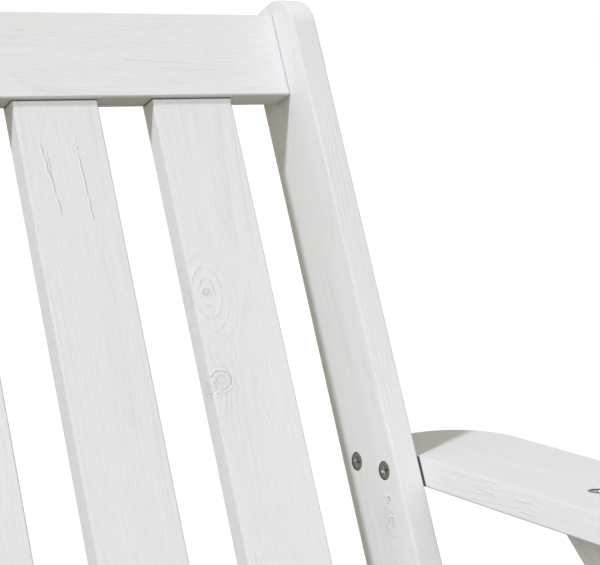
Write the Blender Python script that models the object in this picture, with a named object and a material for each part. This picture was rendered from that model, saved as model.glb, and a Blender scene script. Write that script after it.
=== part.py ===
"""White wooden Adirondack chair, built from planks: a framed, reclined back, two level arms on
front legs and diagonal braces, and a seat of slats on two side rails that run down to the rear feet.

The chair faces -Y. The origin is on the ground, under the middle of its box. Lengths are metres.
"""
import math

import bmesh
import bpy
from mathutils import Matrix, Vector

# ---- driving dimensions ------------------------------------------------------------------
GAP = 0.0003                      # kept between touching pieces
DEPTH = 0.925                     # front of the arms to the heels of the rear feet
BOARD = 0.022                     # thickness of the boards
HEAVY_BOARD = 0.028               # thickness of the side rails, the legs and the braces
EDGE = 0.002                      # rounding of every board's edges

RECLINE = math.radians(24.2)      # the back from upright
BACK_Y, BACK_Z = 0.3125, 0.825    # front bottom edge of the top rail: origin of the back's frame
BACK_INNER = 0.526                # clear width between the stiles
STILE_T = 0.0214
STILE_FRONT, STILE_BACK = -0.027, 0.043
STILE_TOP, STILE_TOP_R = 0.081, 0.030
BACK_RAIL_H = 0.070
BOTTOM_RAIL_TOP = -0.580          # height, along the back, where the slats end

SLAT_W, SLAT_T = 0.070, 0.018
BACK_SLATS, BACK_PITCH = 4, 0.1166
TENON_W, TENON_T, TENON_L = 0.050, 0.010, 0.012

ARM_TOP, ARM_W = 0.5562, 0.110
ARM_REAR_Y, ARM_CORNER_R = 0.2367, 0.052

SEAT_SLOPE = math.radians(17)
SEAT_Y, SEAT_Z = -0.4375, 0.370   # a point on the seat's top near its nose: origin of its frame
SEAT_SLATS, SEAT_FIRST, SEAT_PITCH = 6, -0.006, 0.0805

WIDE_BOARD = 0.095                # width of the legs, the side rails and the apron
LEG_FRONT_Y = -0.4125
BRACE_W = 0.070
BRACE_TIP_Y = 0.0368              # rear corner of the brace, under the arm
BRACE_RISE = math.atan(1 / 1.15)  # slope of the brace above level
HEEL_R = 0.030

SCREW_HEAD_R, SCREW_SHANK_R, SCREW_CONE = 0.0070, 0.0030, 0.0040
SCREW_SINK = 0.0004               # the head's face lies this far below the wood
SOCKET_AF, SOCKET_DEPTH = 0.0048, 0.0026
SCREW_FACETS = 14                 # sides of every turned piece, and of the hole around it
SIDES = {"left": 1, "right": -1}  # the sitter's left is +X

# Planes across the chair, from the back's clear width outwards
STILE_IN = BACK_INNER / 2
STILE_OUT = STILE_IN + STILE_T
RAIL_IN = STILE_IN + BOARD + GAP  # the arms and side rails stand just clear of the stiles
RAIL_OUT = RAIL_IN + HEAVY_BOARD
LEG_IN = RAIL_OUT + GAP
LEG_OUT = LEG_IN + HEAVY_BOARD
LEG_MID = (LEG_IN + LEG_OUT) / 2
ARM_UNDER = ARM_TOP - BOARD
LEG_REAR_Y = LEG_FRONT_Y + WIDE_BOARD


def side_rail_top(y):
    """Height of a side rail's top edge at Y = y: the seat's slope, less the slats' thickness."""
    under_slats = SEAT_Z - (SLAT_T + GAP) / math.cos(SEAT_SLOPE)
    return under_slats - math.tan(SEAT_SLOPE) * (y - SEAT_Y)


SIDE_RAIL_DROP = WIDE_BOARD / math.cos(SEAT_SLOPE)   # its upright depth


# ---- scene, materials and frames ---------------------------------------------------------
for old in list(bpy.data.objects):
    bpy.data.objects.remove(old)


def material(name, colour, roughness, metallic):
    made = bpy.data.materials.new(name)
    made.use_nodes = True
    shader = made.node_tree.nodes["Principled BSDF"]
    shader.inputs["Base Color"].default_value = (*colour, 1)
    shader.inputs["Roughness"].default_value = roughness
    shader.inputs["Metallic"].default_value = metallic
    return made


# Finishes: colour, roughness, metallic
WHITE_WOOD = ((0.78, 0.78, 0.77), 0.55, 0.0)
STEEL = ((0.45, 0.45, 0.44), 0.35, 1.0)


def frame_empty(name, y, z, slope):
    """An empty turned back about X: its +Z leans towards +Y by slope."""
    made = bpy.data.objects.new(name, None)
    bpy.context.collection.objects.link(made)
    made.location = (0, y, z)
    made.rotation_euler = (-slope, 0, 0)
    return made


CHAIR = frame_empty("chair", 0, 0, 0)
BACK = frame_empty("back_frame", BACK_Y, BACK_Z, RECLINE)
SEAT = frame_empty("seat_frame", SEAT_Y, SEAT_Z, SEAT_SLOPE)


# ---- boards --------------------------------------------------------------------------------
def add_object(name, mesh_builder, parent, finish):
    """Makes a mesh object from a bmesh, in its parent empty's frame."""
    bmesh.ops.recalc_face_normals(mesh_builder, faces=mesh_builder.faces)
    mesh = bpy.data.meshes.new(name)
    mesh_builder.to_mesh(mesh)
    mesh_builder.free()
    mesh.materials.append(material(f"{name}_finish", *finish))
    made = bpy.data.objects.new(name, mesh)
    bpy.context.collection.objects.link(made)
    made.parent = parent
    return made


def round_edges(made, width=EDGE):
    bevel = made.modifiers.new("rounded_edges", "BEVEL")
    bevel.width = width
    bevel.segments = 2
    bevel.limit_method = "ANGLE"
    bevel.angle_limit = math.radians(32)
    return made


def prism(name, outline, start, end, axis, parent, edge=EDGE):
    """A board: a flat outline of two coordinates, extruded along axis ("X" or "Z") from start to end.
    The outline holds (y, z) points for X and (x, y) points for Z."""
    place = {"X": lambda p, t: (t, p[0], p[1]), "Z": lambda p, t: (p[0], p[1], t)}[axis]
    shape = bmesh.new()
    face = shape.faces.new([shape.verts.new(place(p, start)) for p in outline])
    moved = bmesh.ops.extrude_face_region(shape, geom=[face])["geom"]
    step = Vector(place((0, 0), end - start))
    bmesh.ops.translate(shape, verts=[v for v in moved if isinstance(v, bmesh.types.BMVert)], vec=step)
    return round_edges(add_object(name, shape, parent, WHITE_WOOD), edge)


def box_outline(low, high):
    return [(low[0], low[1]), (high[0], low[1]), (high[0], high[1]), (low[0], high[1])]


def arc(centre, radius, start_deg, end_deg, steps):
    turns = [math.radians(start_deg + (end_deg - start_deg) * i / steps) for i in range(steps + 1)]
    return [(centre[0] + radius * math.cos(t), centre[1] + radius * math.sin(t)) for t in turns]


def mirrored(points, side):
    return [(side * x, y) for x, y in points]


def span(side, near, far):
    """A pair of X limits on one side of the chair, in rising order."""
    return sorted((side * near, side * far))


def stile_foot(y_back):
    """Height along the back where a stile is cut off, 8 mm above the side rail's bottom edge."""
    clear = 0.008
    slope = math.tan(SEAT_SLOPE)
    low = side_rail_top(BACK_Y) - SIDE_RAIL_DROP
    rise = math.cos(RECLINE) + slope * math.sin(RECLINE)
    across = y_back * (math.sin(RECLINE) - slope * math.cos(RECLINE))
    return (clear + low - BACK_Z + across) / rise


def make_stile(side_name, side):
    """Upright of the back: a plank on edge, its top rounded front and rear."""
    low_centre = STILE_TOP - STILE_TOP_R
    outline = [(STILE_FRONT, stile_foot(STILE_FRONT)), (STILE_BACK, stile_foot(STILE_BACK))]
    outline += arc((STILE_BACK - STILE_TOP_R, low_centre), STILE_TOP_R, 0, 90, 8)
    outline += arc((STILE_FRONT + STILE_TOP_R, low_centre), STILE_TOP_R, 90, 180, 8)
    return prism(f"back_stile_{side_name}", outline, *span(side, STILE_IN, STILE_OUT), "X", BACK)


def make_arm(side_name, side):
    """Arm plank, with large rounds on its outer corners and a small one on its inner front corner."""
    low, high = RAIL_IN, RAIL_IN + ARM_W
    front, small = -DEPTH / 2, 0.020
    r = ARM_CORNER_R
    outline = [(low, ARM_REAR_Y)]
    outline += arc((low + small, front + small), small, 180, 270, 5)
    outline += arc((high - r, front + r), r, 270, 360, 8)
    outline += arc((high - r, ARM_REAR_Y - r), r, 0, 90, 8)
    return prism(f"arm_{side_name}", mirrored(outline, side), ARM_UNDER, ARM_TOP, "Z", CHAIR)


def make_leg(side_name, side):
    outline = box_outline((LEG_FRONT_Y, 0), (LEG_REAR_Y, ARM_UNDER - GAP))
    return prism(f"front_leg_{side_name}", outline, *span(side, LEG_IN, LEG_OUT), "X", CHAIR)


def make_brace(side_name, side):
    """Diagonal plank under the arm, down and forward to the back of the front leg."""
    top, end = ARM_UNDER - GAP, LEG_REAR_Y + GAP
    along_arm = BRACE_W / math.sin(BRACE_RISE)

    def height(tip_y):
        return top - (tip_y - end) * math.tan(BRACE_RISE)

    front_tip = BRACE_TIP_Y - along_arm
    outline = [(BRACE_TIP_Y, top), (front_tip, top), (end, height(front_tip)), (end, height(BRACE_TIP_Y))]
    return prism(f"arm_brace_{side_name}", outline, *span(side, LEG_IN, LEG_OUT), "X", CHAIR)


def make_side_rail(side_name, side):
    """Seat rail and rear leg in one plank: it slopes from the front leg to a flat foot on the ground."""
    heel = DEPTH / 2
    front_top = side_rail_top(LEG_FRONT_Y)
    toe = LEG_FRONT_Y + (front_top - SIDE_RAIL_DROP) / math.tan(SEAT_SLOPE)
    slope_deg = math.degrees(SEAT_SLOPE)
    half_turn = math.tan(math.radians((90 - slope_deg) / 2))
    heel_centre = (heel - HEEL_R, side_rail_top(heel) - HEEL_R * half_turn)
    outline = [(LEG_FRONT_Y, front_top), (LEG_FRONT_Y, front_top - SIDE_RAIL_DROP), (toe, 0), (heel, 0)]
    outline += arc(heel_centre, HEEL_R, 0, 90 - slope_deg, 6)
    return prism(f"side_rail_{side_name}", outline, *span(side, RAIL_IN, RAIL_OUT), "X", CHAIR)


def make_back_rail(name, low):
    reach = STILE_IN - GAP
    return prism(name, box_outline((0, low), (BOARD, low + BACK_RAIL_H)), -reach, reach, "X", BACK)


def slat_centres():
    return [(i - (BACK_SLATS - 1) / 2) * BACK_PITCH for i in range(BACK_SLATS)]


def make_back_slat(number, x):
    """Slat with a stub tenon at each end, its rear face flush with the rails' rear faces."""
    half, shoulder = SLAT_W / 2, TENON_L - 0.001
    front, rear = BOARD - SLAT_T, BOARD
    outline = [(x - half, front), (x + half, front), (x + half, rear), (x - half, rear)]
    slat = prism(f"back_slat_{number}", outline, BOTTOM_RAIL_TOP + GAP, -GAP, "Z", BACK)
    middle = (front + rear) / 2
    tenon_outline = box_outline((x - TENON_W / 2, middle - TENON_T / 2), (x + TENON_W / 2, middle + TENON_T / 2))
    tenon = prism(f"tenon_{number}", tenon_outline, BOTTOM_RAIL_TOP - shoulder, shoulder, "Z", BACK, 0.001)
    as_cutter(tenon)
    use_tool(slat, tenon, "UNION")
    return slat


def make_mortises(rails):
    """Cuts the pockets that the tenons sit in, a little larger than the tenons all round."""
    middle = BOARD - SLAT_T / 2
    half_w, half_t = TENON_W / 2 + GAP, TENON_T / 2 + GAP
    for number, x in enumerate(slat_centres(), 1):
        outline = box_outline((x - half_w, middle - half_t), (x + half_w, middle + half_t))
        for rail, low, high in rails:
            pocket = prism(f"mortise_{rail.name}_{number}", outline, low, high, "Z", BACK, 0.0005)
            use_tool(rail, as_cutter(pocket), "DIFFERENCE")


def as_cutter(made):
    made.hide_render = True
    made.display_type = "WIRE"
    return made


def use_tool(target, tool, operation):
    cut = target.modifiers.new(tool.name, "BOOLEAN")
    cut.operation = operation
    cut.solver = "EXACT"
    cut.object = tool


# ---- screws --------------------------------------------------------------------------------
def turned(name, profile, parent, finish, segments):
    """A closed solid of revolution about Z. The profile is (radius, height), from the top down."""
    shape = bmesh.new()
    rings = []
    for radius, height in profile:
        ring = []
        for i in range(segments):
            angle = 2 * math.pi * i / segments
            ring.append(shape.verts.new((radius * math.cos(angle), radius * math.sin(angle), height)))
        rings.append(ring)
    for upper, lower in zip(rings, rings[1:]):
        for i in range(segments):
            j = (i + 1) % segments
            shape.faces.new((upper[i], upper[j], lower[j], lower[i]))
    shape.faces.new(rings[0])
    shape.faces.new(rings[-1])
    return add_object(name, shape, parent, finish)


def screw_profile(length, grow):
    """Countersunk head on a plain shank with a short point. grow widens it into its own hole."""
    top = SCREW_SINK + 0.002 if grow else 0
    head, shank = SCREW_HEAD_R + grow, SCREW_SHANK_R + grow
    rim = 0.0008 + grow
    return [
        (head, top),
        (head, -rim),
        (shank, -SCREW_CONE - grow),
        (shank, -length + 0.004),
        (shank * 0.4, -length - grow),
    ]


def place_along(made, point, direction):
    """Puts a turned piece with its head at point, driven along direction."""
    turn = Vector((0, 0, -1)).rotation_difference(Vector(direction))
    made.matrix_basis = Matrix.Translation(point) @ turn.to_matrix().to_4x4()


def make_screw(name, point, direction, length, boards, parent=CHAIR):
    """A screw sunk a little below the surface at point, and the hole for it in each board it meets."""
    head = Vector(point) + Vector(direction) * SCREW_SINK
    screw = turned(name, screw_profile(length, 0), parent, STEEL, SCREW_FACETS)
    socket = turned(f"socket_{name}", [(SOCKET_AF / math.sqrt(3), 0.001), (SOCKET_AF / math.sqrt(3), -SOCKET_DEPTH)],
                    parent, STEEL, 6)
    use_tool(screw, as_cutter(socket), "DIFFERENCE")
    hole = turned(f"hole_{name}", screw_profile(length, GAP), parent, STEEL, SCREW_FACETS)
    for piece in (screw, socket, hole):
        place_along(piece, head, direction)
    as_cutter(hole)
    for board in boards:
        use_tool(board, hole, "DIFFERENCE")
    return screw


# ---- assembly ------------------------------------------------------------------------------
stile = {name: make_stile(name, side) for name, side in SIDES.items()}
arm = {name: make_arm(name, side) for name, side in SIDES.items()}
leg = {name: make_leg(name, side) for name, side in SIDES.items()}
brace = {name: make_brace(name, side) for name, side in SIDES.items()}
side_rail = {name: make_side_rail(name, side) for name, side in SIDES.items()}

top_rail = make_back_rail("back_top_rail", 0)
bottom_rail = make_back_rail("back_bottom_rail", BOTTOM_RAIL_TOP - BACK_RAIL_H)
for slat_number, slat_x in enumerate(slat_centres(), 1):
    make_back_slat(slat_number, slat_x)
make_mortises([(top_rail, -0.002, TENON_L), (bottom_rail, BOTTOM_RAIL_TOP - TENON_L, BOTTOM_RAIL_TOP + 0.002)])

for slat_number in range(SEAT_SLATS):
    near = SEAT_FIRST + slat_number * SEAT_PITCH
    slat_outline = box_outline((near, -SLAT_T), (near + SLAT_W, 0))
    prism(f"seat_slat_{slat_number + 1}", slat_outline, -RAIL_OUT, RAIL_OUT, "X", SEAT)

apron_rear = LEG_FRONT_Y - GAP
apron_top = side_rail_top(apron_rear) - 0.001
apron = prism("front_apron", box_outline((apron_rear - BOARD, apron_top - WIDE_BOARD), (apron_rear, apron_top)),
              -LEG_OUT, LEG_OUT, "X", CHAIR)

STRETCHER_LOW, STRETCHER_H = -0.101, 0.070
STRETCHERS = {"middle": 0.400, "rear": 0.835}    # distance down the seat's slope
stretcher = {}
for stretcher_name, near in STRETCHERS.items():
    stretcher_outline = box_outline((near, STRETCHER_LOW), (near + BOARD, STRETCHER_LOW + STRETCHER_H))
    stretcher[stretcher_name] = prism(f"{stretcher_name}_stretcher", stretcher_outline,
                                      GAP - RAIL_IN, RAIL_IN - GAP, "X", SEAT)

LONG, SHORT = 0.060, 0.040
ARM_MID = (ARM_UNDER + ARM_TOP) / 2
for name, side in SIDES.items():
    outward, inward, down = (side, 0, 0), (-side, 0, 0), (0, 0, -1)
    for number, y in enumerate((0.1756, 0.2127), 1):
        make_screw(f"arm_to_stile_screw_{name}_{number}", (side * STILE_IN, y, ARM_MID), outward, LONG,
                   [stile[name], arm[name]])
    for number, y in enumerate((-0.0445, 0.0067), 1):
        make_screw(f"arm_to_brace_screw_{name}_{number}", (side * LEG_MID, y, ARM_TOP), down, SHORT,
                   [arm[name], brace[name]])
    for number, y in enumerate((-0.3885, -0.3415), 1):
        make_screw(f"arm_to_leg_screw_{name}_{number}", (side * LEG_MID, y, ARM_TOP), down, LONG,
                   [arm[name], leg[name]])
    for number, (y, z) in enumerate(((-0.3885, 0.305), (-0.3415, 0.250)), 1):
        make_screw(f"leg_to_rail_screw_{name}_{number}", (side * LEG_OUT, y, z), inward, SHORT,
                   [leg[name], side_rail[name]])
    for number, z in enumerate((0.268, 0.292), 1):
        make_screw(f"brace_to_rail_screw_{name}_{number}", (side * LEG_OUT, -0.3035, z), inward, SHORT,
                   [brace[name], side_rail[name]])
    for number, height in enumerate((-0.742, -0.698), 1):
        make_screw(f"stile_to_rail_screw_{name}_{number}", (side * STILE_IN, 0.008, height), outward, SHORT,
                   [stile[name], side_rail[name]], BACK)
    for place, rail, height in (("top", top_rail, BACK_RAIL_H / 2),
                                ("bottom", bottom_rail, BOTTOM_RAIL_TOP - BACK_RAIL_H / 2)):
        make_screw(f"back_{place}_rail_screw_{name}", (side * STILE_OUT, BOARD / 2, height), inward, LONG,
                   [stile[name], rail], BACK)
    make_screw(f"apron_screw_{name}", (side * (RAIL_IN + RAIL_OUT) / 2, apron_rear - BOARD, 0.295), (0, 1, 0), LONG,
               [apron, side_rail[name]])
    for stretcher_name, near in STRETCHERS.items():
        make_screw(f"{stretcher_name}_stretcher_screw_{name}",
                   (side * RAIL_OUT, near + BOARD / 2, STRETCHER_LOW + STRETCHER_H / 2), inward, LONG,
                   [side_rail[name], stretcher[stretcher_name]], SEAT)
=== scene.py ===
import itertools
import math

import bpy
import numpy as np
from mathutils import Matrix, Vector
from mathutils.geometry import delaunay_2d_cdt


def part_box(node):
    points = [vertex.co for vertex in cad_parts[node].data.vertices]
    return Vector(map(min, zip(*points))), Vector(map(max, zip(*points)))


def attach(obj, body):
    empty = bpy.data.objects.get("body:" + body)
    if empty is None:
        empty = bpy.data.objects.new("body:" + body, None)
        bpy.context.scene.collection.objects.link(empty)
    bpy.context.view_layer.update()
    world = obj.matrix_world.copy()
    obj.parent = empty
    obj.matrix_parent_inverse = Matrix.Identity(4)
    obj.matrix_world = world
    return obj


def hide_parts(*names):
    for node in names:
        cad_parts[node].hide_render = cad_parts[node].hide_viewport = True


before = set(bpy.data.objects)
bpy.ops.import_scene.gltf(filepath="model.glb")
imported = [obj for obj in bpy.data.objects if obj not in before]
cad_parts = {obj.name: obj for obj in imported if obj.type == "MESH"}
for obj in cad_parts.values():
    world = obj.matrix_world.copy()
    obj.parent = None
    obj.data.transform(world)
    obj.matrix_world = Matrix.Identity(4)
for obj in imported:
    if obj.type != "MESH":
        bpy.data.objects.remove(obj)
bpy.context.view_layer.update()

# ---- The camera ------------------------------------------------------------------------------
# It stands in front of the chair at the sitter's right, a little above the arms, and looks at the
# corner where the left stile, the top rail and the left arm meet.
camera_data = bpy.data.cameras.new("camera")
camera_data.sensor_width = 36
camera_data.lens = 114.404
camera_data.shift_x, camera_data.shift_y = 0.0167, -0.1042
camera = bpy.data.objects.new("camera", camera_data)
bpy.context.collection.objects.link(camera)
turn, tilt, lean = math.radians(31.78), math.radians(5.3), math.radians(0.28)
sight = Vector((math.sin(turn) * math.cos(tilt), math.cos(turn) * math.cos(tilt), -math.sin(tilt)))
level = Vector((math.cos(turn), -math.sin(turn), 0))
above = level.cross(sight)
right = level * math.cos(lean) + above * math.sin(lean)
upward = above * math.cos(lean) - level * math.sin(lean)
aim = Matrix((right, upward, -sight)).transposed().to_4x4()
camera.matrix_world = Matrix.Translation((-0.54364, -0.98980, 0.86607)) @ aim
bpy.context.scene.camera = camera

# ---- The stiles ------------------------------------------------------------------------------
# The two uprights of the back: planed pine planks set on edge, rounded at the top, stained white.
# They run down inside the side rails. Screws through their inner faces hold the arms and the rails.


class Link:
    """An output in a material's node tree. Arithmetic on links adds Math nodes and gives links."""

    def __init__(self, tree, output):
        self.tree, self.output = tree, output

    def node(self, kind, settings, sockets, result=0):
        """Adds a node: its settings are set first, then the values or links of its sockets."""
        made = self.tree.nodes.new(kind)
        for key, value in settings.items():
            setattr(made, key, value)
        for key, value in sockets.items():
            if isinstance(value, Link):
                self.tree.links.new(value.output, made.inputs[key])
            else:
                made.inputs[key].default_value = value
        return Link(self.tree, made.outputs[result])

    def maths(self, operation, *values):
        return self.node("ShaderNodeMath", {"operation": operation}, dict(enumerate(values)))

    def __add__(self, other):
        return self.maths("ADD", self, other)

    def __sub__(self, other):
        return self.maths("SUBTRACT", self, other)

    def __rsub__(self, other):
        return self.maths("SUBTRACT", other, self)

    def __mul__(self, other):
        return self.maths("MULTIPLY", self, other)

    def __truediv__(self, other):
        return self.maths("DIVIDE", self, other)

    __radd__, __rmul__ = __add__, __mul__

    def root(self):
        return self.maths("SQRT", self)

    def sine(self):
        return self.maths("SINE", self)

    def fraction(self):
        return self.maths("FRACT", self)

    def larger(self, other):
        return self.maths("MAXIMUM", self, other)

    def bell(self):
        """e to the minus self squared."""
        return self.maths("EXPONENT", self * self * -1)

    def step(self, low, high):
        """A smooth step: 0 below low and 1 above high, or the other way round when high is less."""
        swap = high < low
        sockets = {"Value": self, "From Min": min(low, high), "From Max": max(low, high),
                   "To Min": float(swap), "To Max": float(not swap)}
        return self.node("ShaderNodeMapRange", {"interpolation_type": "SMOOTHSTEP"}, sockets)

    def between(self, first, second):
        """A colour that goes from first to second as self goes from 0 to 1."""
        return self.node("ShaderNodeMix", {"data_type": "RGBA"}, {0: self, 6: first, 7: second}, 2)

    def colour(self, other, amount):
        """self, a colour, changed towards another colour by amount."""
        return amount.between(self, other)


def noise(point, scale, shift, detail=2.0, rough=0.5):
    """Noise on point times scale, plus a shift that sets it apart: about 1 / scale metres a wave."""
    stretched = point.node("ShaderNodeMapping", {}, {"Vector": point, "Location": shift, "Scale": scale})
    return point.node("ShaderNodeTexNoise", {}, {"Vector": stretched, "Scale": 1.0, "Detail": detail,
                                                 "Roughness": rough})


BOARD_NUMBERS = itertools.count(1)


def white_pine(name, place, knots=(), checks=(), gap_shade=(), bright=0.650, pith=(0.012, -0.055)):
    """Planed pine under a thin white stain. place turns board coordinates (along, across, up from the
    middle of the thickness) into the chair's. The growth rings are circles round a pith that lies
    outside the board, read on all its faces. Each knot (along, across, up or None, radius, swelling)
    is a squat ball, or a rod through the board when up is None, and pushes the rings aside over
    its swelling. Each check (along, across or up, half length, slope, face, depth) is a fine split
    with one raised lip. Each place given for painted gap shade is the space beyond all its planes
    (normal, offset), at the narrow gap where the board meets a neighbour; it is painted near-black
    as the shade in that gap."""
    seed = 3.7 * next(BOARD_NUMBERS)
    made = bpy.data.materials.new(name)
    made.use_nodes = True
    tree = made.node_tree
    shader = tree.nodes["Principled BSDF"]
    shader.inputs["Specular IOR Level"].default_value = 0.22
    spot = Link(tree, tree.nodes.new("ShaderNodeTexCoord").outputs["Object"])
    sockets = {"Vector": spot, "Location": tuple(place.translation), "Rotation": tuple(place.to_euler())}
    board = spot.node("ShaderNodeMapping", {"vector_type": "TEXTURE"}, sockets)
    along = board.node("ShaderNodeSeparateXYZ", {}, {0: board}, 0)
    across = board.node("ShaderNodeSeparateXYZ", {}, {0: board}, 1)
    up = board.node("ShaderNodeSeparateXYZ", {}, {0: board}, 2)

    # Growth rings, with the trunk's slow wander and the swelling round each knot
    wander = noise(board, (2.2, 0.6, 0.6), (seed, 0, 0), 1.0) - 0.5
    ragged = noise(board, (26, 90, 90), (0, 3, seed), 2.0) - 0.5
    from_pith_w = across + (wander * 0.05 + pith[0])
    from_pith_t = up + (wander * 0.03 + pith[1])
    radius = (from_pith_w * from_pith_w + from_pith_t * from_pith_t).root() + ragged * 0.0014
    showing = noise(board, (7, 22, 22), (2, seed, 5), 2.0).step(0.42, 0.72)
    heart, rim, lip, arcs = along * 0.0, along * 0.0, along * 0.0, along * 0.0
    for at, aside, height, reach, swell in knots:
        off_along, off_across = along - at, across - aside
        beside = off_across * off_across
        if height is not None:
            beside = beside + (up - height) * (up - height)
        sway = noise(board, (40, 60, 60), (30 * at, 0, seed), 1.0) * 3.0
        uneven = noise(board, (110, 110, 110), (seed, 30 * at, 0), 1.0) - 0.5
        off = (off_along * off_along * 1.5 + beside).root() + uneven * (reach * 0.30)
        far = (off_along * off_along * 0.40 + beside).root() + ragged * 0.0022
        broken = noise(board, (150, 150, 150), (9, seed, 30 * at), 1.0).step(0.30, 0.60)
        heart = heart.larger(off.step(reach, reach * 0.80))
        rim = rim.larger(((off - reach) * (1 / 0.0006)).bell() * broken)
        rim = rim.larger(((off - reach * 0.45) * (1 / 0.0007)).bell() * broken * 0.55)
        lip = lip.larger(((off - reach - 0.0012) * (1 / 0.0007)).bell())
        wave = (far * (2 * math.pi / 0.0062) + sway).sine().step(0.55, 1.0)
        arcs = arcs.larger(wave * (far * (1 / swell)).bell() * off.step(reach, reach + 0.003) * broken)
        radius = radius + (far * (1 / swell)).bell() * (swell * 0.42)
    spacing = noise(board, (1.2, 8, 8), (seed, 4, 0), 1.0) * 0.0014 + 0.0034
    year = (radius / spacing).fraction()
    late = year.step(0.45, 0.90) * year.step(1.0, 0.95) * showing

    # Short fibres, long strands, pores, the brush's drag marks and the stain's cloudy thickness
    fibre = noise(board, (105, 430, 430), (seed, 1, 0), 2.0, 0.65)
    strand = noise(board, (22, 560, 560), (seed, 5, 0), 2.0, 0.6)
    pore = noise(board, (60, 600, 600), (1, seed, 0), 1.0).step(0.66, 0.80)
    drag = noise(board, (5.0, 150, 150), (seed, 2, 7), 2.0, 0.55)
    patch = noise(board, (6, 19, 19), (3, 3, seed), 3.0)

    # Checks: hairline splits that fade out at both ends
    opened = noise(board, (20, 420, 420), (seed, 9, 1), 1.0).step(0.745, 0.80) * patch.step(0.5, 0.66) * 0.22
    for at, aside, half, slope, face, depth in checks:
        reached = (along - at) * (1 / half)
        weave = (noise(board, (75, 9, 9), (40 * at, seed, 0), 2.0) - 0.5) * 0.0030
        line = across if face == "wide" else up
        off = line - aside - (along - at) * slope + weave
        taper = (1 - reached * reached).larger(0.0).step(0.0, 0.45)
        broken = noise(board, (150, 9, 9), (seed, 40 * at, 3), 2.0).step(0.30, 0.48) * taper
        opened = opened.larger((off * (1 / 0.00034)).bell() * broken * (depth * 0.8))
        lip = lip.larger(((off - 0.0009) * (1 / 0.0007)).bell() * broken * (1.5 * depth))

    # Colour
    stain = (drag.step(0.45, 0.75) * 0.30).between((bright,) * 3 + (1,), (bright * 1.05,) * 3 + (1,))
    stain = stain.colour((0.622, 0.617, 0.606, 1), patch.step(0.46, 0.78) * 0.50)
    stain = stain.colour((0.550, 0.546, 0.535, 1), late * 0.35)
    stain = stain.colour((0.560, 0.560, 0.557, 1), fibre.step(0.50, 0.76) * 0.28)
    stain = stain.colour((0.700, 0.700, 0.700, 1), fibre.step(0.46, 0.26) * 0.22)
    stain = stain.colour((0.590, 0.588, 0.582, 1), strand.step(0.55, 0.80) * 0.22)
    stain = stain.colour((0.49, 0.48, 0.46, 1), pore * 0.16)
    stain = stain.colour((0.50, 0.495, 0.48, 1), arcs * 0.40)
    stain = stain.colour((0.59, 0.58, 0.56, 1), heart * 0.45)
    stain = stain.colour((0.34, 0.33, 0.30, 1), rim * 0.48)
    # Painted highlight: the raised lips beside the checks and round the knots are painted lighter
    stain = stain.colour((0.70, 0.70, 0.69, 1), lip * 0.40)
    # Painted shade: the open splits are painted dark inside
    stain = stain.colour((0.22, 0.215, 0.20, 1), opened)
    # The rounded edges are painted darker, unevenly, as painted shade that tones down the highlight they catch
    arris = spot.node("ShaderNodeAttribute", {"attribute_name": "arris"}, {}, 2)
    edge_shade = noise(board, (60, 260, 260), (seed, 6, 6), 2.0) * 0.5 + 0.35
    stain = stain.colour((0.475, 0.472, 0.465, 1), edge_shade * arris)
    # Painted shade: near-black in the narrow gaps where the board meets a neighbour
    for planes in gap_shade:
        in_gap = along * 0.0 + 1.0
        for normal, offset in planes:
            sockets = {0: spot, 1: tuple(normal)}
            beyond = spot.node("ShaderNodeVectorMath", {"operation": "DOT_PRODUCT"}, sockets, 1)
            in_gap = in_gap * beyond.step(offset - 0.0002, offset + 0.0002)
        stain = stain.colour((0.055, 0.052, 0.045, 1), in_gap * 0.92)
    tree.links.new(stain.output, shader.inputs["Base Color"])

    # Sheen and relief
    rough = fibre * 0.12 + patch * 0.10 + 0.62 - late * 0.06
    tree.links.new(rough.output, shader.inputs["Roughness"])
    relief = fibre * 0.60 + strand * 0.30 + drag * 0.30 + late * 0.35 - pore * 0.25 - opened * 1.2
    relief = relief + arcs * 0.6 + heart * 0.25 - rim * 0.9 + lip * 0.9
    bump = relief.node("ShaderNodeBump", {}, {"Height": relief, "Distance": 0.0006, "Strength": 0.50})
    tree.links.new(bump.output, shader.inputs["Normal"])
    return made


EASE = 0.0017               # rounding of the boards' long edges
END_EASE = 0.0005           # rounding of ends that are cut square and butted
ROUND_STEPS = 7             # rings in that rounding
POCKET_SIDES = 40
# A screw's hole: (radius, depth) from its mouth to its flat bottom
POCKET = ((0.0073, 0.0), (0.0071, 0.0003), (0.00705, 0.0014), (0.0034, 0.0048), (0.0034, 0.0056))


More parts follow.
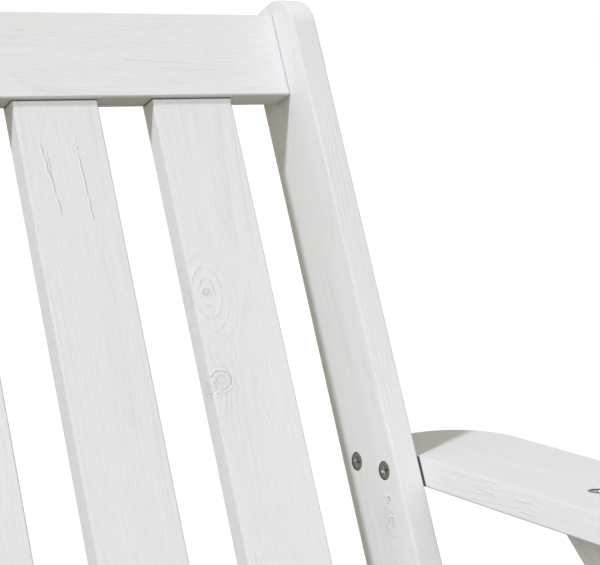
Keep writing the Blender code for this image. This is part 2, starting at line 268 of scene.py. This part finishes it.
def outline_of(corners, radii, ease, end_ease, corner_steps=10, edge_steps=14):
    """A closed convex outline whose corners are rounded, as arrays over its points. Each corner gives
    an arc about centre from its first edge's outward direction to its second's. Each edge between
    gives points whose two directions are both the edge's. ease is an edge's rounding: end_ease on
    edges that face along the board."""
    corners = np.array(corners, float)
    following = np.roll(corners, -1, axis=0)
    if np.sum(corners[:, 0] * following[:, 1] - corners[:, 1] * following[:, 0]) < 0:
        corners, radii = corners[::-1], radii[::-1]
    radii = np.array(radii, float)[:, None]
    ahead = np.roll(corners, -1, axis=0) - corners
    ahead /= np.linalg.norm(ahead, axis=1)[:, None]
    second = np.stack([ahead[:, 1], -ahead[:, 0]], axis=1)
    first = np.roll(second, 1, axis=0)
    centre = corners - radii * (first + second) / (1 + np.sum(first * second, axis=1))[:, None]
    start = np.arctan2(first[:, 1], first[:, 0])
    bend = np.mod(np.arctan2(second[:, 1], second[:, 0]) - start, 2 * np.pi)
    angle = start[:, None] + bend[:, None] * np.linspace(0, 1, corner_steps + 1)
    share = (np.arange(1, edge_steps) / edge_steps)[None, :, None]
    leaves, arrives = centre + radii * second, np.roll(centre + radii * first, -1, axis=0)
    on_edge = leaves[:, None] * (1 - share) + arrives[:, None] * share
    eases = np.where(np.abs(second[:, 0]) > 0.75, end_ease, ease)

    def joined(at_corner, at_edge):
        """Corner values and edge values of each side in turn, as one run of points."""
        at_corner = np.broadcast_to(at_corner, (len(corners), corner_steps + 1) + at_corner.shape[2:])
        at_edge = np.broadcast_to(at_edge, (len(corners), edge_steps - 1) + at_edge.shape[2:])
        both = np.concatenate([at_corner, at_edge], axis=1)
        return both.reshape((-1,) + both.shape[2:])

    return {
        "centre": joined(centre[:, None], on_edge),
        "radius": joined(radii, np.zeros((1, 1))),
        "direction": joined(np.stack([np.cos(angle), np.sin(angle)], axis=2), second[:, None]),
        "first": joined(first[:, None], second[:, None]),
        "second": joined(second[:, None], second[:, None]),
        "first_ease": joined(np.roll(eases, 1)[:, None], eases[:, None]),
        "second_ease": joined(eases[:, None], eases[:, None]),
        "ease": joined(np.linspace(0, 1, corner_steps + 1)[None] * (eases - np.roll(eases, 1))[:, None]
                       + np.roll(eases, 1)[:, None], eases[:, None]),
    }


def inset(outline, share):
    """The outline's points set in by share of each edge's own ease. Up to its radius a corner's arc
    shrinks; past it the point moves so that it is as far inside each edge as that edge's ease asks."""
    shrink = np.minimum(outline["ease"] * share, outline["radius"])
    arc = outline["centre"] + (outline["radius"] - shrink)[:, None] * outline["direction"]
    into_first = np.maximum(outline["first_ease"] * share - outline["radius"], 0)
    into_second = np.maximum(outline["second_ease"] * share - outline["radius"], 0)
    cosine = np.sum(outline["first"] * outline["second"], axis=1)
    on_edge = cosine > 0.9999
    scale = 1 / np.where(on_edge, 1.0, 1 - cosine ** 2)
    along_first = np.where(on_edge, into_first, (into_first - cosine * into_second) * scale)
    along_second = np.where(on_edge, 0.0, (into_second - cosine * into_first) * scale)
    return arc - along_first[:, None] * outline["first"] - along_second[:, None] * outline["second"]


def cap_triangles(rim, holes):
    """Triangles, as rows of indices into rim and the holes in turn, over the face between them."""
    points = np.concatenate([rim] + holes)
    starts = np.cumsum([0, len(rim)] + [len(hole) for hole in holes])
    loops = [np.arange(low, high) for low, high in zip(starts, starts[1:])]
    edges = [tuple(pair) for loop in loops for pair in np.stack([loop, np.roll(loop, -1)], axis=1).tolist()]
    found = delaunay_2d_cdt([Vector(p) for p in points.tolist()], edges, [loops[0].tolist()], 1, 1e-9)
    source = np.array([came[0] for came in found[3]])
    faces = source[np.array(found[2])]
    middle = points[faces].mean(axis=1)
    keep = np.ones(len(faces), bool)
    for hole in holes:
        centre = hole.mean(axis=0)
        keep &= np.linalg.norm(middle - centre, axis=1) > np.linalg.norm(hole[0] - centre) * 0.999
    return faces[keep]


def plank(name, place, corners, radii, thickness, pockets=(), end_ease=EASE):
    """A board: rings of its outline carried through the thickness. The ring at angle f of the edge's
    quarter round is set in by ease * (1 - cos f) and stands ease * (1 - sin f) below the face.
    Each pocket (along, across, face side) is a countersunk hole: a small profile spun round."""
    outline = outline_of(corners, radii, EASE, end_ease)
    count = len(outline["radius"])
    quarter = np.linspace(0, np.pi / 2, ROUND_STEPS + 1)
    rings, heights, normals, edge_shade_weight = [], [], [], []
    for side in (-1, 1):
        for f in (quarter[::-1] if side < 0 else quarter):
            rings.append(inset(outline, 1 - math.cos(f)))
            heights.append(side * (thickness / 2 - outline["ease"] * (1 - math.sin(f))))
            normals.append(np.column_stack([outline["direction"] * math.cos(f),
                                            np.full(count, side * math.sin(f))]))
            # Weight of the painted shade on the rounded edges: most halfway round each edge, none on the flat
            # faces
            edge_shade_weight.append(np.full(count, math.sin(2 * f)))
    local = np.column_stack([np.concatenate(rings), np.concatenate(heights)])
    ring_normals, arris = np.concatenate(normals), np.concatenate(edge_shade_weight)
    index = np.arange(len(rings) * count).reshape(len(rings), count)
    after = np.roll(index, -1, axis=1)
    quads = np.stack([index[:-1], after[:-1], after[1:], index[1:]], axis=-1).reshape(-1, 4)
    faces, corner_normals = [quads], [ring_normals[quads]]
    turns = np.arange(POCKET_SIDES) * 2 * np.pi / POCKET_SIDES
    circle = np.column_stack([np.cos(turns), np.sin(turns)])
    for side, rim in ((-1, index[0]), (1, index[-1])):
        mouths = [np.array(pocket[:2]) for pocket in pockets if pocket[2] == side]
        holes = [mouth + POCKET[0][0] * circle for mouth in mouths]
        first = len(local)
        flat_ids = np.concatenate([rim] + [first + POCKET_SIDES * len(POCKET) * k + np.arange(POCKET_SIDES)
                                           for k in range(len(holes))])
        cap = flat_ids[cap_triangles(local[rim, :2], holes)]
        faces.append(cap if side > 0 else cap[:, ::-1])
        corner_normals.append(np.broadcast_to((0.0, 0.0, side), (len(cap), 3, 3)))
        for mouth in mouths:
            start = len(local)
            wall = [np.column_stack([mouth + reach * circle,
                                     np.full(POCKET_SIDES, side * (thickness / 2 - depth))])
                    for reach, depth in POCKET]
            local = np.concatenate([local] + wall)
            grid = start + np.arange(POCKET_SIDES * len(POCKET)).reshape(len(POCKET), POCKET_SIDES)
            grid_after = np.roll(grid, -1, axis=1)
            steps = np.diff(POCKET, axis=0)
            across_wall = np.stack([-steps[:, 1], -steps[:, 0]], axis=1)
            across_wall /= np.linalg.norm(across_wall, axis=1)[:, None]
            sides = np.stack([grid[:-1], grid[1:], grid_after[1:], grid_after[:-1]], axis=-1)
            both = np.stack([circle, np.roll(circle, -1, axis=0)])[[0, 0, 1, 1]]
            facing = np.empty(sides.shape + (3,))
            facing[..., :2] = across_wall[:, None, None, :1] * both.transpose(1, 0, 2)[None]
            facing[..., 2] = -side * across_wall[:, None, None, 1]
            sides, facing = sides.reshape(-1, 4), facing.reshape(-1, 4, 3)
            floor_face = np.stack([np.full(POCKET_SIDES - 2, grid[-1, 0]), grid[-1, 1:-1], grid[-1, 2:]],
                                  axis=1)
            if side < 0:
                sides, facing, floor_face = sides[:, ::-1], facing[:, ::-1], floor_face[:, ::-1]
            faces += [sides, floor_face]
            corner_normals += [facing, np.broadcast_to((0.0, 0.0, side), (len(floor_face), 3, 3))]
    arris = np.concatenate([arris, np.zeros(len(local) - len(arris))])

    turn_and_move = np.array(place)
    world = local @ turn_and_move[:3, :3].T + turn_and_move[:3, 3]
    mesh = bpy.data.meshes.new(name)
    mesh.from_pydata(world.tolist(), [], [face for group in faces for face in group.tolist()])
    mesh.attributes.new("arris", "FLOAT", "POINT").data.foreach_set("value", arris)
    mesh.shade_smooth()
    mesh.set_sharp_from_angle(angle=math.radians(32))
    facing = np.concatenate([group.reshape(-1, 3) for group in corner_normals]) @ turn_and_move[:3, :3].T
    mesh.normals_split_custom_set(facing.tolist())
    made = bpy.data.objects.new(name, mesh)
    bpy.context.collection.objects.link(made)
    return made


def settle(piece, finish, node):
    """Gives a piece its finish and its place in the model: what it stands for and rides on."""
    piece.data.materials.append(finish)
    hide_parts(node)
    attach(piece, "root")


def board_frame(origin, along, across):
    """Board coordinates to the chair's: along, across, and their cross product through the thickness."""
    along, across = Vector(along).normalized(), Vector(across).normalized()
    turned = Matrix((along, across, along.cross(across))).transposed()
    return Matrix.Translation(origin) @ turned.to_4x4()


RECLINE = math.radians(24.2)
BACK_ORIGIN = Vector((0, 0.3125, 0.825))
UP_BACK = Vector((0, math.sin(RECLINE), math.cos(RECLINE)))
TO_REAR = Vector((0, math.cos(RECLINE), -math.sin(RECLINE)))
RAIL_SLOPE = math.radians(17)
SIDES = (("left", 1), ("right", -1))   # the sitter's left is +X
STILE_FRONT, STILE_REAR, STILE_TOP, STILE_ROUND = -0.027, 0.043, 0.0808, 0.0295


def rectangle(half_along, half_across):
    """The corners of a rectangle about a board's middle."""
    return [(-half_along, -half_across), (half_along, -half_across),
            (half_along, half_across), (-half_along, half_across)]


def back_point(point):
    """(up the back, towards the rear) of a point on the chair, from the top rail's bottom front edge."""
    off = Vector(point) - BACK_ORIGIN
    return off.dot(UP_BACK), off.dot(TO_REAR)


for name, side in SIDES:
    low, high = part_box(f"back_stile_{name}")
    place = board_frame(((low.x + high.x) / 2, BACK_ORIGIN.y, BACK_ORIGIN.z), UP_BACK, TO_REAR)
    # The foot is cut along the side rail: its rear corner is the stile's lowest point
    foot_z = low.z + 0.0002
    rear_foot = (foot_z - BACK_ORIGIN.z + STILE_REAR * math.sin(RECLINE)) / math.cos(RECLINE)
    front_foot = rear_foot - (STILE_REAR - STILE_FRONT) * math.tan(RAIL_SLOPE - RECLINE)
    corners = [(front_foot, STILE_FRONT), (rear_foot, STILE_REAR),
               (STILE_TOP, STILE_REAR), (STILE_TOP, STILE_FRONT)]
    # Through the thickness is -X, so the inner face is at +side and the outer face at -side
    arm_screws = [back_point((0, y, 0.5452)) for y in (0.1756, 0.2127)]
    side_rail_screws = [(-0.742, 0.008), (-0.698, 0.008)]
    back_rail_screws = [(0.035, 0.011), (-0.615, 0.011)]
    pockets = [(along, across, side) for along, across in arm_screws + side_rail_screws]
    pockets += [(along, across, -side) for along, across in back_rail_screws]
    radii = [0.002, 0.002, STILE_ROUND, STILE_ROUND]
    stile = plank(f"stile_{name}", place, corners, radii, high.x - low.x, pockets)
    knots = [(-0.19, 0.006, None, 0.005, 0.014), (-0.58, -0.008, None, 0.006, 0.016)]
    checks = [(-0.12, 0.010, 0.020, 0.01, "wide", 0.3)]
    if side > 0:
        knots = [(-0.333, -0.0075, None, 0.0022, 0.008), (-0.350, -0.004, None, 0.0045, 0.014),
                 (-0.61, 0.012, None, 0.006, 0.016)]
        checks = [(0.022, -0.0165, 0.010, -0.11, "wide", 0.5), (-0.30, 0.020, 0.02, 0.01, "wide", 0.25)]
    finish = white_pine(f"white_pine_stile_{name}", place, knots, checks, (), 0.638)
    settle(stile, finish, f"back_stile_{name}")

# ---- The rails of the back -------------------------------------------------------------------
# Two boards across the back, cut square and butted between the stiles, one screw in each end.
# The slats are tenoned into them, flush at the rear and a little set back at the front.
RAIL_THICK, RAIL_HIGH = 0.022, 0.070
RAIL_FOOT = {"back_top_rail": 0.0, "back_bottom_rail": -0.650}
RAIL_EXTRAS = {
    "back_top_rail": ([(-0.21, -0.006, None, 0.0055, 0.016)],
                      [(0.150, -0.006, 0.035, -0.06, "wide", 0.22),
                       (0.175, -0.0125, 0.030, -0.03, "wide", 0.16),
                       (0.09, -0.027, 0.060, 0.0, "wide", 0.12)]),
    "back_bottom_rail": ([(0.13, 0.010, None, 0.007, 0.018)], [(-0.1, -0.01, 0.03, 0.01, "wide", 0.3)]),
}
for node, (knots, checks) in RAIL_EXTRAS.items():
    low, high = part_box(node)
    middle = BACK_ORIGIN + UP_BACK * (RAIL_FOOT[node] + RAIL_HIGH / 2) + TO_REAR * (RAIL_THICK / 2)
    place = board_frame(middle, (1, 0, 0), UP_BACK)
    corners = rectangle(high.x, RAIL_HIGH / 2)
    rail = plank(node.replace("back_", "") + "_board", place, corners, [0.0004] * 4, RAIL_THICK, (), END_EASE)
    settle(rail, white_pine(f"white_pine_{node}", place, knots, checks), node)

# ---- The slats of the back -------------------------------------------------------------------
# Four thinner boards between the rails, each end let into a rail. The third and the fourth, on the
# sitter's left, have their own knots and drying checks.
SLAT_WIDE, SLAT_THICK = 0.070, 0.018
SLAT_TOP, SLAT_FOOT = -0.0003, -0.5797
SLAT_EXTRAS = {
    1: ([(-0.12, 0.012, None, 0.005, 0.016)], [(-0.30, -0.01, 0.03, 0.01, "wide", 0.3)], 0.645),
    2: ([(-0.43, -0.014, None, 0.006, 0.018)], [(-0.07, 0.016, 0.03, 0.02, "wide", 0.3)], 0.650),
    3: ([(-0.47, 0.010, None, 0.004, 0.016)],
        [(-0.0630, -0.0148, 0.031, -0.128, "wide", 0.62), (-0.0577, -0.0142, 0.018, -0.01, "wide", 0.45),
         (-0.0650, 0.0119, 0.036, -0.034, "wide", 0.62)], 0.643),
    4: ([(-0.2265, -0.0255, 0.0090, 0.0088, 0.011), (-0.2310, -0.0350, 0.0060, 0.0060, 0.009),
         (-0.1577, -0.0228, None, 0.0030, 0.024)], [(-0.2563, 0.0077, 0.004, 0.0, "wide", 0.35)], 0.645),
}
for number, (knots, checks, bright) in SLAT_EXTRAS.items():
    low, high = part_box(f"back_slat_{number}")
    origin = BACK_ORIGIN + TO_REAR * (RAIL_THICK - SLAT_THICK / 2) + Vector(((low.x + high.x) / 2, 0, 0))
    place = board_frame(origin, UP_BACK, (-1, 0, 0))
    half = SLAT_WIDE / 2
    corners = [(SLAT_FOOT, -half), (SLAT_TOP, -half), (SLAT_TOP, half), (SLAT_FOOT, half)]
    slat = plank(f"slat_{number}_board", place, corners, [0.0004] * 4, SLAT_THICK, (), END_EASE)
    # Across runs towards the sitter's right here, so that the third direction faces the sitter
    knots = [(a, -w, h, r, swell) for a, w, h, r, swell in knots]
    checks = [(a, -w, length, -slope, face, depth) for a, w, length, slope, face, depth in checks]
    shoulder = BACK_ORIGIN.dot(UP_BACK)
    # Painted shade in the narrow gaps at the slat's ends, just under the top rail and just above the bottom
    # rail
    gap_shade = [[(UP_BACK, shoulder - 0.0012)], [(-UP_BACK, 0.5788 - shoulder)]]
    settle(slat, white_pine(f"white_pine_back_slat_{number}", place, knots, checks, gap_shade, bright),
           f"back_slat_{number}")

# ---- The arms --------------------------------------------------------------------------------
# Broad level planks, rounded at the outer corners. Each is screwed from the stile into its inner
# edge, and from its top into the front leg and the brace.
ARM_ROUND, ARM_FRONT_INNER = 0.052, 0.020
for name, side in SIDES:
    low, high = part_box(f"arm_{name}")
    middle, half = (low + high) / 2, (high - low) / 2
    place = board_frame(middle, (0, -1, 0), (1, 0, 0))
    # Along the arm runs forwards, and its inner edge is at -side
    corners = [(-half.y, -side * half.x), (half.y, -side * half.x),
               (half.y, side * half.x), (-half.y, side * half.x)]
    radii = [0.0015, ARM_FRONT_INNER, ARM_ROUND, ARM_ROUND]
    leg_low, leg_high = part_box(f"front_leg_{name}")
    over_leg = (leg_low.x + leg_high.x) / 2 - middle.x
    heads = [(middle.y - y, over_leg, 1) for y in (-0.0445, 0.0067, -0.3885, -0.3415)]
    arm = plank(f"arm_board_{name}", place, corners, radii, high.z - low.z, heads)
    checks = [(-0.1848, side * 0.0106, 0.0210, side * -0.065, "wide", 0.24),
              (-0.192, side * 0.025, 0.024, side * -0.10, "wide", 0.20),
              (-0.226, side * 0.0377, 0.0123, 0.0, "wide", 0.2), (0.12, side * -0.02, 0.035, 0.01, "wide", 0.3),
              (-0.1914, -0.0002, 0.0112, -0.08, "thick", 0.32), (-0.1530, 0.0020, 0.0073, -0.09, "thick", 0.30),
              (-0.1445, -0.0058, 0.0095, -0.04, "thick", 0.28), (-0.1868, 0.0050, 0.0040, -0.01, "thick", 0.2)]
    # The arm's inner side in the narrow gap behind the stile's front is painted dark as shade
    behind_stile = [(TO_REAR, BACK_ORIGIN.dot(TO_REAR) + STILE_FRONT - 0.0006),
                    (Vector((-side, 0, 0)), half.x - side * middle.x - 0.0006)]
    knots = [(0.19, side * 0.014, None, 0.007, 0.02)]
    finish = white_pine(f"white_pine_arm_{name}", place, knots, checks, [behind_stile], 0.632)
    settle(arm, finish, f"arm_{name}")

# ---- The front legs and the braces ------------------------------------------------------------
# Each front leg is an upright plank under the arm. A diagonal plank braces the arm from the leg's
# rear edge. Both lie in one plane outside the side rail and are screwed to it.
LEG_SCREWS = ((-0.3885, 0.305), (-0.3415, 0.250))       # (y, z) of each
BRACE_SCREWS = ((-0.3035, 0.268), (-0.3035, 0.292))
BRACE_RISE, BRACE_WIDE, BRACE_REAR, LEG_REAR = math.atan(1 / 1.15), 0.070, 0.0368, -0.3172
for name, side in SIDES:
    low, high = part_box(f"front_leg_{name}")
    middle, half = (low + high) / 2, (high - low) / 2
    place = board_frame(middle, (0, 0, 1), (0, 1, 0))
    # Through the thickness is -X
    heads = [(z - middle.z, y - middle.y, -side) for y, z in LEG_SCREWS]
    leg = plank(f"front_leg_board_{name}", place, rectangle(half.z, half.y), [0.002] * 4, high.x - low.x, heads)
    knots, checks = [(-0.11, 0.012 * side, None, 0.008, 0.024)], [(0.05, -0.02, 0.03, 0.01, "wide", 0.3)]
    settle(leg, white_pine(f"white_pine_front_leg_{name}", place, knots, checks), f"front_leg_{name}")

    low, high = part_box(f"arm_brace_{name}")
    upwards = Vector((0, math.cos(BRACE_RISE), math.sin(BRACE_RISE)))
    square = Vector((0, -math.sin(BRACE_RISE), math.cos(BRACE_RISE)))
    middle = (low + high) / 2
    place = board_frame(middle, upwards, square)
    front = BRACE_REAR - BRACE_WIDE / math.sin(BRACE_RISE)
    shape = [(BRACE_REAR, high.z), (front, high.z)]
    shape += [(LEG_REAR, high.z - (y - LEG_REAR) * math.tan(BRACE_RISE)) for y in (front, BRACE_REAR)]
    offsets = [Vector((0, y - middle.y, z - middle.z)) for y, z in (*shape, *BRACE_SCREWS)]
    measured = [(off.dot(upwards), off.dot(square)) for off in offsets]
    corners = measured[:4]
    # Through the thickness is +X
    heads = [(along, across, side) for along, across in measured[4:]]
    brace = plank(f"brace_board_{name}", place, corners, [0.0012] * 4, high.x - low.x, heads)
    finish = white_pine(f"white_pine_arm_brace_{name}", place, [(0.02, 0.010, None, 0.006, 0.018)])
    settle(brace, finish, f"arm_brace_{name}")

# ---- The side rails and the stretchers --------------------------------------------------------
# Each side rail carries the seat and is the rear leg as well: it slopes down to a foot cut level
# with the ground and a rounded heel. Two stretchers on edge tie the rails together.
SLOPE_DOWN = Vector((0, math.cos(RAIL_SLOPE), -math.sin(RAIL_SLOPE)))
OFF_SLOPE = Vector((0, math.sin(RAIL_SLOPE), math.cos(RAIL_SLOPE)))
SEAT_ORIGIN = Vector((0, -0.4375, 0.370))
RAIL_TOP, RAIL_DEEP, HEEL_ROUND = -0.0183, 0.095, 0.030
STRETCHER_AT = {"middle": 0.400, "rear": 0.835}
STRETCHER_MIDDLE, STRETCHER_HALF = -0.066, 0.035


def seat_point(y, z):
    """(down the seat's slope, square off it) of a point at (y, z)."""
    off = Vector((0, y, z)) - SEAT_ORIGIN
    return off.dot(SLOPE_DOWN), off.dot(OFF_SLOPE)


def height_on(line, y):
    """Height at Y = y of a line parallel to the seat's top and line above it."""
    return SEAT_ORIGIN.z + line / math.cos(RAIL_SLOPE) - math.tan(RAIL_SLOPE) * (y - SEAT_ORIGIN.y)


for name, side in SIDES:
    low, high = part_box(f"side_rail_{name}")
    nose = height_on(RAIL_TOP - RAIL_DEEP, low.y)
    shape = [(low.y, height_on(RAIL_TOP, low.y)), (low.y, nose), (low.y + nose / math.tan(RAIL_SLOPE), 0),
             (high.y, 0), (high.y, height_on(RAIL_TOP, high.y))]
    corners = [seat_point(y, z) for y, z in shape]
    place = board_frame(((low.x + high.x) / 2, SEAT_ORIGIN.y, SEAT_ORIGIN.z), SLOPE_DOWN, OFF_SLOPE)
    # Through the thickness is +X
    heads = [(near + RAIL_THICK / 2, STRETCHER_MIDDLE, side) for near in STRETCHER_AT.values()]
    rail = plank(f"side_rail_board_{name}", place, corners, [0.002, 0.002, 0.006, 0.002, HEEL_ROUND],
                 high.x - low.x, heads)
    knots = [(0.30, -0.055, None, 0.008, 0.024), (0.66, -0.075, None, 0.006, 0.018)]
    finish = white_pine(f"white_pine_side_rail_{name}", place, knots, [(0.52, -0.06, 0.04, 0.01, "wide", 0.3)])
    settle(rail, finish, f"side_rail_{name}")

for which, near in STRETCHER_AT.items():
    low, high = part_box(f"{which}_stretcher")
    middle = SEAT_ORIGIN + SLOPE_DOWN * (near + RAIL_THICK / 2) + OFF_SLOPE * STRETCHER_MIDDLE
    place = board_frame(middle, (1, 0, 0), OFF_SLOPE)
    corners = rectangle(high.x, STRETCHER_HALF)
    stretcher = plank(f"{which}_stretcher_board", place, corners, [0.001] * 4, RAIL_THICK)
    finish = white_pine(f"white_pine_{which}_stretcher", place, [(-0.12, 0.012, None, 0.006, 0.018)])
    settle(stretcher, finish, f"{which}_stretcher")

# ---- The seat --------------------------------------------------------------------------------
# Six slats lie across the side rails. An apron on edge closes the front, below the first slat.
SEAT_FIRST, SEAT_PITCH = -0.006, 0.0805
APRON_SCREW_X, APRON_SCREW_Z = 0.2993, 0.295
for number in range(1, 7):
    low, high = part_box(f"seat_slat_{number}")
    down = SEAT_FIRST + (number - 1) * SEAT_PITCH + SLAT_WIDE / 2
    middle = SEAT_ORIGIN + SLOPE_DOWN * down - OFF_SLOPE * (SLAT_THICK / 2)
    place = board_frame(middle, (-1, 0, 0), SLOPE_DOWN)
    corners = rectangle(high.x, SLAT_WIDE / 2)
    slat = plank(f"seat_slat_board_{number}", place, corners, [0.0015] * 4, SLAT_THICK)
    knots = []
    if number % 2:
        knots = [(0.09 * math.sin(number * 2.3), 0.012 * math.cos(number * 1.7), None, 0.0055, 0.018)]
    checks = [(0.12 * math.cos(number * 3.1), 0.018 * math.sin(number), 0.03, 0.01, "wide", 0.3)]
    settle(slat, white_pine(f"white_pine_seat_slat_{number}", place, knots, checks),
           f"seat_slat_{number}")

low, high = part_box("front_apron")
middle, half = (low + high) / 2, (high - low) / 2
place = board_frame(middle, (1, 0, 0), (0, 0, 1))
heads = [(side * APRON_SCREW_X, APRON_SCREW_Z - middle.z, 1) for _, side in SIDES]
apron = plank("front_apron_board", place, rectangle(half.x, half.z), [0.002] * 4, high.y - low.y, heads)
knots, checks = [(0.14, 0.018, None, 0.008, 0.024)], [(-0.2, -0.02, 0.05, 0.01, "wide", 0.3)]
settle(apron, white_pine("white_pine_front_apron", place, knots, checks), "front_apron")

# ---- The screws ------------------------------------------------------------------------------
# Countersunk wood screws of zinc-plated steel, turned on a lathe shape, with a cross driver recess
# pressed into the head. They sit just under the faces of the boards.
HEAD_R, SHANK_R = 0.0070, 0.0030
RECESS_REACH, RECESS_HALF, RECESS_DEEP = 0.0041, 0.00095, 0.0030
SPIN_SIDES = 96


def zinc(name):
    """Dull plated steel: fine brushed scratches round the head, and grime with painted shade darkening the
    recess and the rim.
    """
    made = bpy.data.materials.new(name)
    made.use_nodes = True
    tree = made.node_tree
    shader = tree.nodes["Principled BSDF"]
    shader.inputs["Metallic"].default_value = 1.0
    spot = Link(tree, tree.nodes.new("ShaderNodeTexCoord").outputs["Object"])
    grime = spot.node("ShaderNodeAttribute", {"attribute_name": "grime"}, {}, 2)
    mottle = noise(spot, (900, 900, 900), (0, 0, 0), 3.0)
    scratch = noise(spot, (300, 4000, 700), (2, 0, 1), 1.0)
    plate = (mottle.step(0.4, 0.7) * 0.6).between((0.52, 0.52, 0.525, 1), (0.38, 0.38, 0.38, 1))
    # Grime and painted shade: near-black in the recess and at the rim of the head
    plate = plate.colour((0.05, 0.05, 0.05, 1), grime * 0.85)
    tree.links.new(plate.output, shader.inputs["Base Color"])
    rough = mottle * 0.14 + grime * 0.20 + 0.38
    tree.links.new(rough.output, shader.inputs["Roughness"])
    relief = mottle * 0.5 + scratch * 0.5
    bump = relief.node("ShaderNodeBump", {}, {"Height": relief, "Distance": 0.00006, "Strength": 0.5})
    tree.links.new(bump.output, shader.inputs["Normal"])
    return made


ZINC = zinc("zinc_plated_screw")


def screw(node, turned):
    """A screw in place of its CAD node, its driver recess turned by an angle. Its surface is a function
    of the angle round it and the distance along a profile. Inside the recess the radius follows the
    cross: reach over the cosine, or the arm's half width over the sine, of the angle from the nearest
    arm, whichever is less."""
    # The CAD solid's own points give the axis, the way its head faces and the middle of the head
    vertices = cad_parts[node].data.vertices
    points = np.empty(len(vertices) * 3)
    vertices.foreach_get("co", points)
    points = points.reshape(-1, 3)
    centre = points.mean(axis=0)
    axis = np.linalg.svd(points - centre, full_matrices=False)[2][0]
    measure = (points - centre) @ axis
    from_axis = np.linalg.norm(np.cross(points - centre, axis), axis=1)
    if measure[np.argmax(from_axis)] < 0:
        axis, measure = -axis, -measure
    head = points[(measure > measure.max() - 1e-4) & (from_axis > HEAD_R * 0.9)].mean(axis=0)
    length = np.ptp(measure)

    angle = np.arange(SPIN_SIDES) * 2 * np.pi / SPIN_SIDES
    from_arm = np.abs(np.mod(angle - turned + np.pi / 4, np.pi / 2) - np.pi / 4)
    cross = np.minimum(RECESS_REACH, RECESS_HALF / np.maximum(np.sin(from_arm), 1e-3))
    cross = np.minimum(cross, RECESS_REACH / np.maximum(np.cos(from_arm), 0.5))
    ring = np.ones(SPIN_SIDES)
    # (radius, height above the head's middle, grime and painted shade) down the recess's wall, over the head,
    # to the tip
    rows = [(cross * 0.02, -RECESS_DEEP, 1.0), (cross * 0.35, -RECESS_DEEP * 0.92, 1.0),
            (cross * 0.72, -RECESS_DEEP * 0.62, 0.6), (cross * 0.93, -RECESS_DEEP * 0.30, 0.15),
            (cross, -0.00012, 0.0), (cross + 0.00012, 0.0, 0.0),
            (cross * 0.5 + 0.0026 * ring, 0.00005, 0.2), (0.0051 * ring, 0.0, 0.3),
            (0.0058 * ring, 0.0, 0.0), (0.0067 * ring, -0.00010, 0.35),
            (HEAD_R * ring, -0.0004, 0.8), (HEAD_R * ring, -0.0008, 1.0), (SHANK_R * ring, -0.0040, 1.0),
            (SHANK_R * ring, 0.004 - length, 0.3), (SHANK_R * 0.15 * ring, -length, 0.3)]
    radius = np.stack([row[0] for row in rows])
    height = np.stack([row[1] * ring for row in rows])
    grime = np.repeat([row[2] for row in rows], SPIN_SIDES)
    local = np.stack([radius * np.cos(angle), radius * np.sin(angle), height], axis=-1).reshape(-1, 3)
    grid = np.arange(len(local)).reshape(len(rows), SPIN_SIDES)
    after = np.roll(grid, -1, axis=1)
    quads = np.stack([grid[:-1], grid[1:], after[1:], after[:-1]], axis=-1).reshape(-1, 4)
    ends = [grid[0].tolist(), grid[-1][::-1].tolist()]
    to_chair = np.array(Vector(axis).to_track_quat("Z", "Y").to_matrix())
    mesh = bpy.data.meshes.new(node)
    mesh.from_pydata((local @ to_chair.T + head).tolist(), [], quads.tolist() + ends)
    mesh.attributes.new("grime", "FLOAT", "POINT").data.foreach_set("value", grime)
    mesh.shade_smooth()
    mesh.set_sharp_from_angle(angle=math.radians(38))
    made = bpy.data.objects.new(node + "_turned", mesh)
    bpy.context.collection.objects.link(made)
    settle(made, ZINC, node)


# Each was driven home to its own angle, here 1.1 radians further than the one before
for number, node in enumerate(sorted(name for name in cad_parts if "_screw_" in name)):
    screw(node, 0.35 + 1.1 * number)

# ---- The floor and the light -----------------------------------------------------------------
# A plain pale floor and studio light: a soft key from the sitter's right and above, broad fills from
# the front and from the same side, and white surroundings.
floor_mesh = bpy.data.meshes.new("floor")
floor_mesh.from_pydata([(x, y, 0) for x, y in rectangle(60, 60)], [], [(0, 1, 2, 3)])
floor = bpy.data.objects.new("floor", floor_mesh)
bpy.context.collection.objects.link(floor)
floor_paint = bpy.data.materials.new("pale_floor")
floor_paint.use_nodes = True
tree = floor_paint.node_tree
# What it throws back at the chair is darker and warmer than the pale floor itself
seen = Link(tree, tree.nodes.new("ShaderNodeLightPath").outputs["Is Camera Ray"])
tint = seen.between((0.195, 0.165, 0.085, 1), (0.92, 0.92, 0.92, 1))
tree.links.new(tint.output, tree.nodes["Principled BSDF"].inputs["Base Color"])
tree.nodes["Principled BSDF"].inputs["Roughness"].default_value = 0.9
tree.nodes["Principled BSDF"].inputs["Specular IOR Level"].default_value = 0.1
floor_mesh.materials.append(floor_paint)


def sun(name, strength, softness, towards, colour):
    """A distant light that shines along towards, its shadows softened by its size in degrees."""
    data = bpy.data.lights.new(name, "SUN")
    data.energy, data.angle, data.color = strength, math.radians(softness), colour
    made = bpy.data.objects.new(name, data)
    bpy.context.collection.objects.link(made)
    made.rotation_euler = Vector(towards).to_track_quat("-Z", "Y").to_euler()


sun("key", 2.34, 5, (0.95, 0.115, -1.0), (0.935, 1.0, 1.113))
sun("front_fill", 1.42, 50, (0.2, 0.93, -0.3), (0.951, 1.0, 1.114))
sun("side_fill", 0.73, 80, (1.0, 0.2, -0.12), (1.098, 1.0, 0.845))

world = bpy.data.worlds.new("studio")
bpy.context.scene.world = world
world.use_nodes = True
tree = world.node_tree
seen = Link(tree, tree.nodes.new("ShaderNodeLightPath").outputs["Is Camera Ray"])
glow = seen.between((0.535, 0.50, 0.43, 1), (1.0, 1.0, 1.0, 1))
tree.links.new(glow.output, tree.nodes["Background"].inputs["Color"])
bpy.context.scene.view_settings.view_transform = "Standard"
